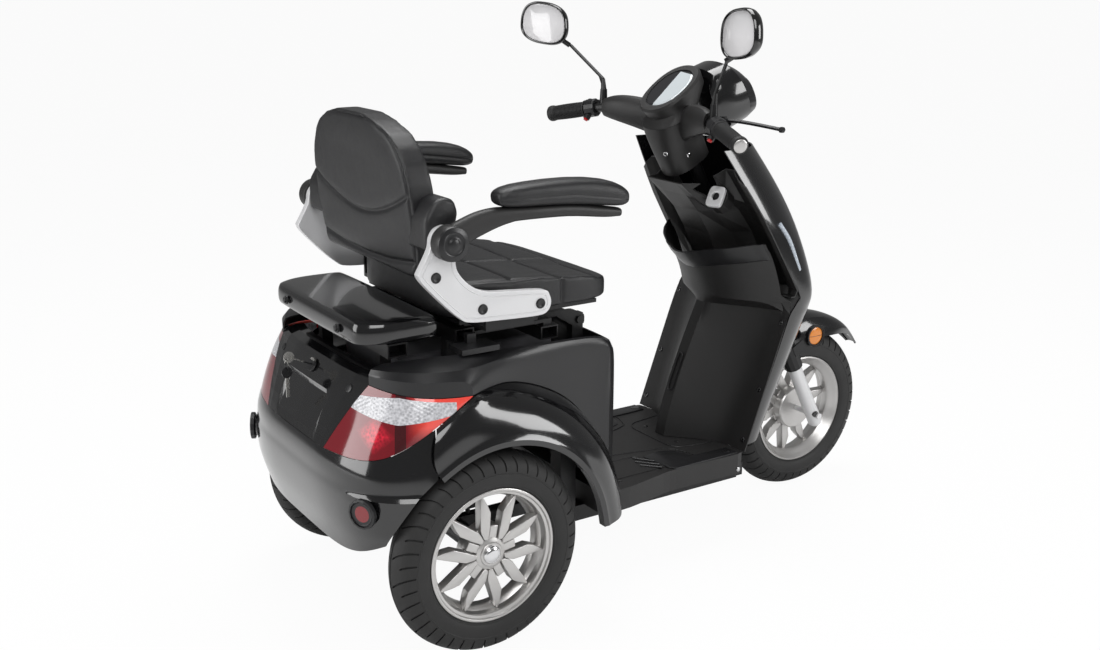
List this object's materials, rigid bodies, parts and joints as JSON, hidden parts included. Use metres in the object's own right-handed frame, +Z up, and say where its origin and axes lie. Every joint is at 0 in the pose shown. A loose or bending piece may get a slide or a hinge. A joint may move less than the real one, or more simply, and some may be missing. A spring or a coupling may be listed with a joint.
{
  "type": "electric moped",
  "caption": "Three-wheeled electric moped with a cushioned armchair seat, flat floor, leg shield with pocket and rear luggage plate.",
  "frame": {"origin": "on the ground, under the middle of the bounding box", "axes": "+X forward in the direction of travel, +Y to the rider's left, +Z up"},
  "size_m": [1.6234, 0.8088, 1.2472],
  "materials": {
    "gloss_black": "gloss black bodywork",
    "satin_black": "satin black mouldings and levers",
    "matte_black": "textured matte black mouldings",
    "frame_steel": "black painted steel",
    "rubber": "black rubber",
    "tyre": "black tyre rubber",
    "silver_alloy": "satin cast alloy",
    "silver_paint": "silver paint",
    "chrome": "polished",
    "leather": "black leathercloth",
    "red_lens": "red lens",
    "clear_lens": "clear lens",
    "display": "instrument glass",
    "red_button": "red button",
    "spring_orange": "orange painted spring wire",
    "battery_grey": "dark grey case"
  },
  "bodies": {
    "chassis": {"main_frame": "frame_steel", "floor_board": "matte_black", "leg_shield": "matte_black", "inner_panel": "matte_black", "front_shield": "gloss_black", "ignition_plate": "chrome", "rear_body_shell": "satin_black", "fender_right": "gloss_black", "fender_left": "gloss_black", "rear_panel": "gloss_black", "rear_bumper": "gloss_black", "tail_lamp_right": "red_lens", "tail_lamp_left": "red_lens", "rear_reflector_right": "red_lens", "rear_reflector_left": "red_lens", "battery_box": "battery_grey", "rear_spring_right": "spring_orange", "rear_spring_left": "spring_orange"},
    "steering": {"fork_upper": "frame_steel", "front_mudguard": "gloss_black", "handlebar": "frame_steel", "column_cover": "matte_black", "dash_pod": "matte_black", "display_lens": "display", "headlight_cowl": "gloss_black", "headlight_lens": "clear_lens", "switch_pod_left": "satin_black", "switch_pod_right": "satin_black", "grip_left": "rubber", "brake_cable": "rubber"},
    "fork_lowers": {"fork_lower": "silver_paint"},
    "front_wheel": {"front_rim": "silver_alloy", "front_tyre": "tyre"},
    "throttle": {"throttle_grip": "rubber"},
    "left_brake": {"brake_lever_left": "satin_black"},
    "right_brake": {"brake_lever_right": "satin_black"},
    "left_mirror": {"mirror_head_left": "gloss_black"},
    "right_mirror": {"mirror_head_right": "gloss_black"},
    "horn": {"horn_button": "red_button"},
    "stop": {"stop_button": "red_button"},
    "ignition": {"ignition_barrel": "satin_black"},
    "rear_arm": {"rear_axle": "frame_steel"},
    "rear_wheel_left": {"rear_left_rim": "silver_alloy", "rear_left_tyre": "tyre"},
    "rear_wheel_right": {"rear_right_rim": "silver_alloy", "rear_right_tyre": "tyre"},
    "lock": {"boot_lock": "chrome"},
    "hanging_key": {"spare_key": "chrome"},
    "seat_frame": {"seat_base": "frame_steel", "luggage_plate": "gloss_black"},
    "release": {"seat_release": "satin_black"},
    "seat": {"seat_pan": "frame_steel", "seat_cushion": "leather", "seat_bracket_left": "silver_paint", "seat_bracket_right": "silver_paint"},
    "back": {"backrest": "leather"},
    "left_armrest": {"armrest_arm_left": "matte_black", "armrest_pad_left": "leather"},
    "right_armrest": {"armrest_arm_right": "matte_black", "armrest_pad_right": "leather"}
  },
  "joints": [
    {"name": "steering_turn", "type": "hinge", "parent": "chassis", "child": "steering", "pos_m": [0.18718, 0, 0.96696], "axis": [-0.4772, 0, 0.8788], "range_deg": [-30, 30], "deforming": ["brake_cable"]},
    {"name": "fork_travel", "type": "slide", "parent": "steering", "child": "fork_lowers", "axis": [-0.4772, 0, 0.8788], "range_m": [0, 0.03], "stiffness_N_per_m": 9000, "springref_m": -0.05},
    {"name": "front_wheel_spin", "type": "hinge", "parent": "fork_lowers", "child": "front_wheel", "pos_m": [0.59754, 0, 0.21118], "axis": [0, 1, 0], "continuous": true},
    {"name": "throttle_twist", "type": "hinge", "parent": "steering", "child": "throttle", "pos_m": [0.06318, -0.341, 0.97196], "axis": [-0.3179, -0.9314, -0.1774], "range_deg": [0, 60], "stiffness_Nm_per_rad": 0.5, "springref_deg": -11.46},
    {"name": "left_brake_pull", "type": "hinge", "parent": "steering", "child": "left_brake", "pos_m": [0.14213, 0.19757, 1.00328], "axis": [0, 0, 1], "range_deg": [0, 20], "stiffness_Nm_per_rad": 0.6, "springref_deg": -17.19},
    {"name": "right_brake_pull", "type": "hinge", "parent": "steering", "child": "right_brake", "pos_m": [0.14213, -0.19757, 1.00328], "axis": [0, 0, -1], "range_deg": [0, 20], "stiffness_Nm_per_rad": 0.6, "springref_deg": -17.19},
    {"name": "left_mirror_turn", "type": "hinge", "parent": "steering", "child": "left_mirror", "pos_m": [0.08958, 0.3, 1.13796], "axis": [-0.2025, 0.7867, 0.5832], "range_deg": [-25, 25]},
    {"name": "right_mirror_turn", "type": "hinge", "parent": "steering", "child": "right_mirror", "pos_m": [0.05358, -0.3, 1.13796], "axis": [-0.4455, -0.7192, 0.5332], "range_deg": [-25, 25]},
    {"name": "horn_press", "type": "slide", "parent": "steering", "child": "horn", "axis": [0.6, 0, 0.8], "range_m": [0, 0.002], "stiffness_N_per_m": 100, "springref_m": -0.002},
    {"name": "stop_press", "type": "slide", "parent": "steering", "child": "stop", "axis": [0.6, 0, 0.8], "range_m": [0, 0.002], "stiffness_N_per_m": 100, "springref_m": -0.002},
    {"name": "ignition_turn", "type": "hinge", "parent": "chassis", "child": "ignition", "pos_m": [0.23154, -0.092, 0.812], "axis": [-0.8024, -0.2507, 0.5416], "range_deg": [0, 90]},
    {"name": "rear_arm_swing", "type": "hinge", "parent": "chassis", "child": "rear_arm", "pos_m": [-0.29646, 0, 0.21118], "axis": [0, 1, 0], "range_deg": [0, 3], "stiffness_Nm_per_rad": 3000, "springref_deg": -4.58, "deforming": ["rear_spring_left", "rear_spring_right"]},
    {"name": "rear_left_wheel_spin", "type": "hinge", "parent": "rear_arm", "child": "rear_wheel_left", "pos_m": [-0.52246, 0.302, 0.21118], "axis": [0, 1, 0], "continuous": true},
    {"name": "rear_right_wheel_spin", "type": "hinge", "parent": "rear_arm", "child": "rear_wheel_right", "pos_m": [-0.52246, -0.302, 0.21118], "axis": [0, 1, 0], "continuous": true},
    {"name": "lock_turn", "type": "hinge", "parent": "chassis", "child": "lock", "pos_m": [-0.74394, 0, 0.55242], "axis": [-0.9061, 0, 0.423], "range_deg": [0, 45]},
    {"name": "key_swing", "type": "hinge", "parent": "lock", "child": "hanging_key", "pos_m": [-0.80018, 0, 0.57001], "axis": [0, 1, 0], "range_deg": [-5, 15]},
    {"name": "seat_tip", "type": "hinge", "parent": "chassis", "child": "seat_frame", "pos_m": [-0.17446, 0, 0.591], "axis": [0, 1, 0], "range_deg": [0, 35]},
    {"name": "release_pull", "type": "slide", "parent": "seat_frame", "child": "release", "axis": [0, -1, 0], "range_m": [0, 0.012], "stiffness_N_per_m": 200, "springref_m": -0.01},
    {"name": "seat_slide", "type": "slide", "parent": "seat_frame", "child": "seat", "axis": [1, 0, 0], "range_m": [0, 0.04]},
    {"name": "back_fold", "type": "hinge", "parent": "seat", "child": "back", "pos_m": [-0.58946, 0, 0.84], "axis": [0, 1, 0], "range_deg": [0, 75]},
    {"name": "left_armrest_lift", "type": "hinge", "parent": "seat", "child": "left_armrest", "pos_m": [-0.58946, 0, 0.84], "axis": [0, -1, 0], "range_deg": [0, 90]},
    {"name": "right_armrest_lift", "type": "hinge", "parent": "seat", "child": "right_armrest", "pos_m": [-0.58946, 0, 0.84], "axis": [0, -1, 0], "range_deg": [0, 90]}
  ]
}
